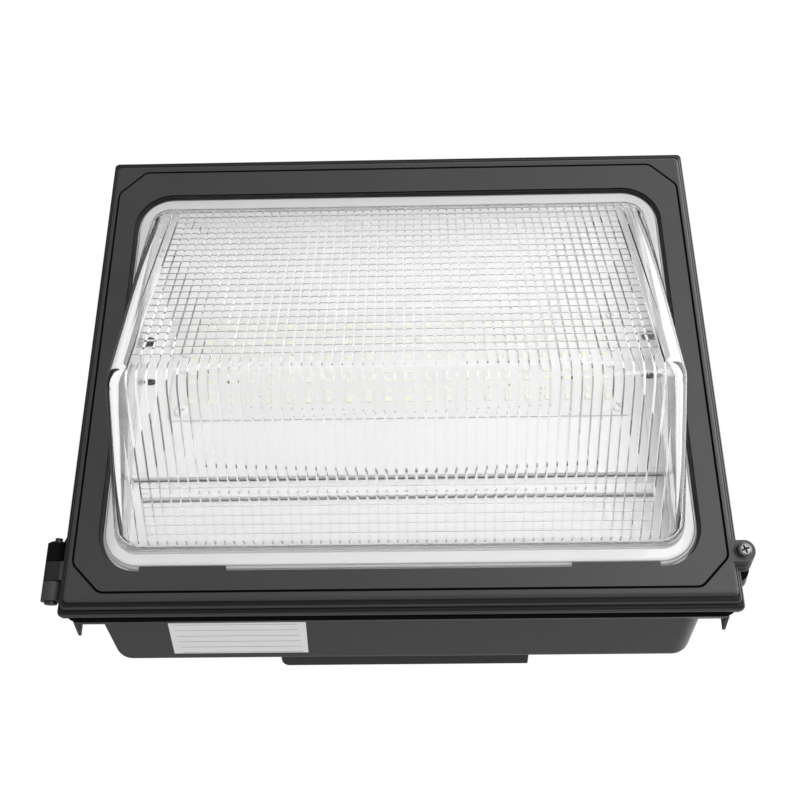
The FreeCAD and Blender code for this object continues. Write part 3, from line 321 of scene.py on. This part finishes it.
def galvanised():
    """Rolled galvanised sheet with its spangle."""
    f = Finish("galvanised_sheet")
    spangle = f.node("ShaderNodeTexVoronoi", {"feature": "F1"},
                     {"Vector": f.place(), "Scale": 110.0}, "Color")
    cell = f.node("ShaderNodeSeparateColor", None, {"Color": spangle}, 0)
    f.output(f.shader(Base_Color=f.mix(cell, rgb(0.50, 0.51, 0.52), rgb(0.66, 0.67, 0.68)),
                      Metallic=1.0, Roughness=0.34 + cell * 0.16))
    return f.owner


def white_paint():
    """White baked paint of the reflector sheets and of some screws."""
    return swayed("white_paint", (18.0, 2.0, 0.5),
                  (rgb(0.84, 0.84, 0.835), rgb(0.88, 0.88, 0.875)), (0.38, 0.12),
                  grain=(700.0, 2.0, 0.5), bump=(0.05 * MM, 0.25))


def board_white():
    """White solder mask of the board."""
    return swayed("solder_mask", (40.0, 2.0, 0.5),
                  (rgb(0.78, 0.79, 0.78), rgb(0.82, 0.83, 0.82)), (0.32, 0.1),
                  grain=(1500.0, 2.0, 0.5))


def phosphor():
    return swayed("chip_phosphor", (2500.0, 2.0, 0.5),
                  (rgb(0.88, 0.85, 0.70), rgb(0.91, 0.88, 0.77)), (0.35, 0.1))


def driver_case():
    return swayed("driver_case", (500.0, 3.0, 0.6), (rgb(0.10), rgb(0.14)), (0.42, 0.15),
                  bump=(0.03 * MM, 0.3))


def terminal_plastic():
    return swayed("terminal_plastic", (900.0, 2.0, 0.6),
                  (rgb(0.70, 0.69, 0.64), rgb(0.76, 0.75, 0.71)), (0.42, 0.12))


def ground_green():
    return swayed("green_screw", (600.0, 3.0, 0.6),
                  (rgb(0.03, 0.23, 0.07), rgb(0.06, 0.32, 0.11)), (0.3, 0.15), Metallic=0.6)


def dark_steel():
    """Blackened pin, screws and latch parts."""
    return swayed("dark_steel", (700.0, 3.0, 0.6), (rgb(0.02), rgb(0.05)), (0.3, 0.2),
                  Metallic=0.6)


def recess_shade():
    """Dark, dull walls of a screw's recess."""
    return swayed("recess_shade", (900.0, 2.0, 0.6), (rgb(0.02), rgb(0.06)), (0.6, 0.2))


RULE_SPACING = 3.0 * MM     # half the distance between the label's ruled rows
RULE_HALF = 0.22 * MM
RULE_ENDS = (-123.5 * MM, -55.5 * MM)


def label_film():
    """Pale silver film with plain ruled rows, no lettering."""
    f = Finish("label_film")
    place = f.place()
    row = f.maths("PINGPONG", f.part(place, "Y"), RULE_SPACING)
    rule = (row < RULE_HALF) * f.within(f.part(place, "X"), RULE_ENDS)
    grain = f.noise(1400.0, 2.0, 0.6)
    paper = f.mix(grain, rgb(0.89), rgb(0.93))
    f.output(f.shader(Base_Color=f.mix(rule, paper, rgb(0.30)),
                      Roughness=0.35 + grain * 0.15))
    return f.owner


# ---------------------------------------------------------------- studio
FLOOR_Z = -0.8
FLOOR_SIZE = 12.0
WORLD_ON_SURFACES = 0.6
REFLECTED_MIDDLE = 0.85     # the world in reflections: in the middle, what its brightness
REFLECTED_TURN = 2.2        # gains towards the right, and at the least
REFLECTED_LEAST = 0.2
LIT_PLACE = Vector((0, -0.1, 0))
LAMPS = (("key", Vector((0.8, -1.15, -0.5)), 0.9, 11.0),     # name, place, side, watts
         ("fill", Vector((-1.2, -1.0, 0.3)), 1.2, 1.5))


def make_world():
    """White to the camera and through glass; reflections are brighter on the right."""
    world = Finish("studio", bpy.data.worlds.new("studio"))
    glossy = world.node("ShaderNodeLightPath", outlet="Is Glossy Ray")
    direct = (world.node("ShaderNodeLightPath", outlet="Is Camera Ray")
              + world.node("ShaderNodeLightPath", outlet="Is Transmission Ray"))
    clear = world.maths("MINIMUM", direct, 1.0)
    way = world.node("ShaderNodeTexCoord", outlet="Generated")
    mirrored = glossy * (1.0 - clear)
    plain = (1.0 - clear) * (1.0 - glossy)
    seen = world.maths("MAXIMUM", REFLECTED_MIDDLE + world.part(way, "X") * REFLECTED_TURN,
                       REFLECTED_LEAST)
    light = world.node("ShaderNodeBackground", None,
                       {"Color": rgb(1.0),
                        "Strength": clear + mirrored * seen + plain * WORLD_ON_SURFACES})
    world.node("ShaderNodeOutputWorld", None, {"Surface": light})
    bpy.context.scene.world = world.owner


def make_floor():
    bpy.ops.mesh.primitive_plane_add(size=FLOOR_SIZE, location=(0, 0, FLOOR_Z))
    floor = bpy.context.object
    floor.name = "studio_floor"
    f = Finish("studio_floor")
    f.output(f.shader(Base_Color=rgb(0.9), Roughness=0.9))
    floor.data.materials.append(f.owner)


def make_lamp(name, place, side, watts):
    data = bpy.data.lights.new(name, "AREA")
    data.shape = "RECTANGLE"
    data.size = data.size_y = side
    data.energy = watts
    lamp = bpy.data.objects.new(name, data)
    lamp.location = place
    lamp.rotation_euler = (LIT_PLACE - place).to_track_quat("-Z", "Y").to_euler()
    bpy.context.scene.collection.objects.link(lamp)


def make_studio():
    make_world()
    make_floor()
    for lamp in LAMPS:
        make_lamp(*lamp)
    bpy.context.scene.view_settings.view_transform = "Standard"


# ---------------------------------------------------------------- modelling helpers
SMOOTH_UNDER = math.radians(35)
SAME_CORNER = 1e-6          # corners nearer than this are one, in metres


def deselect():
    bpy.ops.object.select_all(action="DESELECT")


def choose(piece):
    deselect()
    piece.select_set(True)
    bpy.context.view_layer.objects.active = piece


def edit(on):
    bpy.ops.object.mode_set(mode="EDIT" if on else "OBJECT")


def pick(kind, test):
    """In edit mode: selects just the faces or edges that pass the test."""
    modes = {"faces": "FACE", "edges": "EDGE"}
    bpy.ops.mesh.select_mode(type=modes[kind])
    bpy.ops.mesh.select_all(action="DESELECT")
    shape = bmesh.from_edit_mesh(bpy.context.object.data)
    for part in getattr(shape, kind):
        part.select_set(bool(test(part)))
    shape.select_flush_mode()
    bmesh.update_edit_mesh(bpy.context.object.data)


def looks_down(face):
    return face.normal.z < -0.9


def apply_modifiers(piece):
    choose(piece)
    for modifier in list(piece.modifiers):
        bpy.ops.object.modifier_apply(modifier=modifier.name)


def combine(piece, tool, operation):
    """Adds a tool to a piece or cuts it out of the piece, and deletes the tool."""
    cut = piece.modifiers.new("combine", "BOOLEAN")
    cut.operation = operation
    cut.object = tool
    apply_modifiers(piece)
    bpy.data.objects.remove(tool)


def settle(piece, material):
    """Puts a piece's place into its mesh and gives it a finish and smooth sides."""
    choose(piece)
    piece.data.transform(piece.matrix_world)
    piece.matrix_world = Matrix.Identity(4)
    bpy.ops.object.shade_smooth_by_angle(angle=SMOOTH_UNDER)
    piece.data.materials.clear()
    piece.data.materials.append(material)


def join(pieces):
    deselect()
    for piece in pieces:
        piece.select_set(True)
    bpy.context.view_layer.objects.active = pieces[0]
    if len(pieces) > 1:
        bpy.ops.object.join()
    return bpy.context.object


def solids_of(name):
    """Corner clouds of a node's separate solids, in metres."""
    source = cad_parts[name]
    shape = bmesh.new()
    shape.from_mesh(source.data)
    shape.transform(source.matrix_world)
    bmesh.ops.remove_doubles(shape, verts=shape.verts, dist=SAME_CORNER)
    left = set(shape.verts)
    clouds = []
    for seed in shape.verts:
        if seed not in left:
            continue
        left.remove(seed)
        cloud = [seed]
        open_ends = [seed]
        while open_ends:
            corner = open_ends.pop()
            for edge in corner.link_edges:
                other = edge.other_vert(corner)
                if other in left:
                    left.remove(other)
                    cloud.append(other)
                    open_ends.append(other)
        clouds.append([v.co.copy() for v in cloud])
    shape.free()
    return clouds


def seat(cloud, axis):
    """Middle of a turned solid across its axis, and its two ends along it."""
    ends = [corner.dot(axis) for corner in cloud]
    middle = sum(cloud, Vector()) / len(cloud)
    return middle - axis * middle.dot(axis), min(ends), max(ends)


# ---------------------------------------------------------------- screws
# Head radius, head height and shank radius of the pan screws.
LATCH_SIZE = (3.8 * MM, 2.7 * MM, 2.0 * MM)
INSIDE_SIZE = (3.8 * MM, 2.4 * MM, 2.0 * MM)
CLIP_SIZE = (2.8 * MM, 1.6 * MM, 1.5 * MM)
HEAD_SIDES = 48
HEAD_ROUND = 0.62           # rounding of the head's edge, as a share of its height
HEAD_ROUND_STEPS = 5
HEAD_ROUND_FULLNESS = 0.6
TIP_SHARE = 0.45            # radius of the shank's end, as a share of the shank's
RECESS_REACH = 0.95         # the cutter's widest reach, as a share of the head's radius
RECESS_WIDTH = 0.42
RECESS_DEEP_SHARE = 0.35    # size of the cutter's lower end, as a share of its upper end
RECESS_SEEN = 0.64          # the recess's reach at the head's surface
CUTTER_HEIGHT = 1.5         # in heads, with its middle at CUTTER_LIFT
CUTTER_LIFT = 1.1
FIRST_TURN = 0.35           # how far the first screw is turned, and each further one
TURN_STEP = 1.7
PALE_SCREWS_ABOVE = 90 * MM  # the plate's upper screws are painted with it


def cross_cutter(head, height):
    """Two crossing wedges that cut a cross recess, tapering downwards."""
    arms = []
    for turn in (0, math.pi / 2):
        deselect()
        bpy.ops.mesh.primitive_cube_add(size=1, location=(0, 0, 0))
        arm = bpy.context.object
        arm.scale = (head * RECESS_REACH * 2, head * RECESS_WIDTH, height * CUTTER_HEIGHT)
        arm.location = (0, 0, height * CUTTER_LIFT)
        arm.rotation_euler = (0, 0, turn)
        bpy.ops.object.transform_apply(location=True, rotation=True, scale=True)
        edit(True)
        pick("faces", looks_down)
        bpy.ops.transform.resize(value=(RECESS_DEEP_SHARE, RECESS_DEEP_SHARE, 1.0))
        edit(False)
        arms.append(arm)
    combine(arms[0], arms[1], "UNION")
    return arms[0]


def pan_screw(size, length):
    """Cross-recessed pan-head screw, head up, its seat at Z = 0."""
    head, height, shank = size
    deselect()
    bpy.ops.mesh.primitive_cylinder_add(vertices=HEAD_SIDES, radius=head, depth=height,
                                        location=(0, 0, height / 2))
    screw = bpy.context.object
    bpy.ops.object.transform_apply(location=True)
    edit(True)
    pick("edges", lambda edge: all(v.co.z > height * 0.9 for v in edge.verts))
    bpy.ops.mesh.bevel(offset=height * HEAD_ROUND, segments=HEAD_ROUND_STEPS,
                       profile=HEAD_ROUND_FULLNESS)
    pick("faces", looks_down)
    bpy.ops.mesh.inset(thickness=head - shank)
    bpy.ops.mesh.extrude_region_move(TRANSFORM_OT_translate={"value": (0, 0, shank - length)})
    bpy.ops.mesh.extrude_region_move(TRANSFORM_OT_translate={"value": (0, 0, -shank)})
    bpy.ops.transform.resize(value=(TIP_SHARE, TIP_SHARE, 1.0))
    edit(False)
    combine(screw, cross_cutter(head, height), "DIFFERENCE")
    return screw


def in_recess(face, head, height):
    """True for the walls and floor of the cross recess."""
    near_axis = math.hypot(face.center.x, face.center.y) < head * RECESS_SEEN
    in_head = face.center.z > height * 0.1
    below_top = face.center.z < height * 0.9
    steep = abs(face.normal.z) < 0.6
    return near_axis and in_head and (below_top or steep)


def fine_screws(name, node, body, axis, size, finish_at):
    """Stands cross-recessed screws where the node's plain ones are.

    finish_at gives the finishes of a screw's outside and of its recess for its place.
    """
    head, height, shank = size
    model = None
    copies = []
    for i, cloud in enumerate(solids_of(node)):
        across, low, high = seat(cloud, axis)
        if model is None:
            model = pan_screw(size, high - low - height)
            recess_faces = [face.index for face in model.data.polygons
                            if in_recess(face, head, height)]
        copy = model.copy()
        copy.data = model.data.copy()
        bpy.context.scene.collection.objects.link(copy)
        stand = axis.to_track_quat("Z", "X").to_matrix().to_4x4()
        spin = Matrix.Rotation(FIRST_TURN + TURN_STEP * i, 4, "Z")
        foot = Matrix.Translation(across + axis * (high - height))
        copy.matrix_world = foot @ stand @ spin
        outside, recess = finish_at(across)
        settle(copy, outside)
        copy.data.materials.append(recess)
        for face in recess_faces:
            copy.data.polygons[face].material_index = 1
        copies.append(copy)
    bpy.data.objects.remove(model)
    piece = join(copies)
    piece.name = name
    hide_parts(node)
    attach(piece, body)


def make_screws(steel, black, white):
    shade = recess_shade()
    # painted shade: the latch screw is a darker copy of the plated steel, dimming its
    # reflections
    latch = plated_steel("shaded_plated_steel", 0.10, 0.17)
    green = ground_green()

    def plate_finish(place):
        painted = place.z > PALE_SCREWS_ABOVE
        return (white, white) if painted else (black, shade)

    fine_screws("latch_screw_fine", "latch_screw", "latch", OUT_OF_FACE,
                LATCH_SIZE, lambda place: (latch, shade))
    fine_screws("plate_screws_fine", "led_plate_screws", "housing_side",
                OUT_OF_FACE, INSIDE_SIZE, plate_finish)
    fine_screws("board_screws_fine", "led_board_screws", "housing_side",
                OUT_OF_FACE, INSIDE_SIZE, lambda place: (white, white))
    fine_screws("reflector_screws_fine", "reflector_screws", "housing_side",
                OUT_OF_FACE, INSIDE_SIZE, lambda place: (steel, shade))
    fine_screws("driver_screws_fine", "driver_screws", "housing_side",
                TO_FRONT, INSIDE_SIZE, lambda place: (steel, shade))
    fine_screws("ground_screw_fine", "ground_screw", "housing_side",
                TO_FRONT, INSIDE_SIZE, lambda place: (green, shade))
    fine_screws("clip_screws_fine", "glass_clip_screws", "door",
                -OUT_OF_FACE, CLIP_SIZE, lambda place: (steel, shade))


# ---------------------------------------------------------------- label
LABEL_FRONT = (-126.0 * MM, -50.9 * MM)      # left and right end of its front edge
LABEL_BACK = (-128.6 * MM, -52.4 * MM)
LABEL_DEPTH = (-56.0 * MM, -22.9 * MM)       # y of its front and back edge
LABEL_THICK = 0.12 * MM
LABEL_FILM = 0.8            # the film, as a share of the room that it takes
LABEL_CUTS = 7
BELOW_HOUSING = -0.2


def between(ends, share):
    return ends[0] + (ends[1] - ends[0]) * share


def make_label():
    """Bare rating-label sticker, laid on the housing's underside."""
    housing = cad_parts["housing"]
    deselect()
    bpy.ops.mesh.primitive_plane_add(size=1, location=(0, 0, 0))
    label = bpy.context.object
    label.name = "rating_label"
    edit(True)
    bpy.ops.mesh.select_all(action="SELECT")
    bpy.ops.mesh.subdivide(number_cuts=LABEL_CUTS)
    edit(False)
    for corner in label.data.vertices:
        inwards = corner.co.y + 0.5
        left = between((LABEL_FRONT[0], LABEL_BACK[0]), inwards)
        right = between((LABEL_FRONT[1], LABEL_BACK[1]), inwards)
        below = Vector((between((left, right), corner.co.x + 0.5),
                        between(LABEL_DEPTH, inwards), BELOW_HOUSING))
        underside = housing.ray_cast(below, UPWARDS)[1]
        corner.co = underside - UPWARDS * LABEL_THICK
    sheet = label.modifiers.new("sheet", "SOLIDIFY")
    sheet.thickness = LABEL_THICK * LABEL_FILM
    sheet.offset = 0
    apply_modifiers(label)
    settle(label, label_film())
    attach(label, "housing_side")


# ---------------------------------------------------------------- the object
def dress(material, *names):
    """Gives CAD nodes a finish in their own material slots."""
    for name in names:
        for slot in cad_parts[name].material_slots:
            slot.material = material


def dress_light():
    steel = plated_steel("plated_steel", 0.38, 0.52)
    black = dark_steel()
    white = white_paint()
    dress(housing_coat(), "housing")
    dress(door_coat(), "door_frame")
    dress(plug_coat(), "side_plugs")
    dress(silicone("black_silicone", 0.02, 0.04), "door_gasket")
    dress(silicone("pale_silicone", 0.48, 0.58), "glass_gasket")
    dress(black, "hinge_pin", "hinge_clip", "latch_washer", "latch_retainer")
    dress(steel, "glass_clips")
    dress(brass(), "lug_insert")
    dress(galvanised(), "driver_bracket")
    dress(white, "led_plate", "lower_reflector", "side_reflector_left",
          "side_reflector_right")
    dress(board_white(), "led_board")
    dress(phosphor(), "led_chips")
    dress(driver_case(), "led_driver")
    dress(terminal_plastic(), "terminal_block")
    dress(clear_glass(), "glass_refractor")
    make_screws(steel, black, white)
    make_label()


deselect()
make_camera()
make_studio()
dress_light()
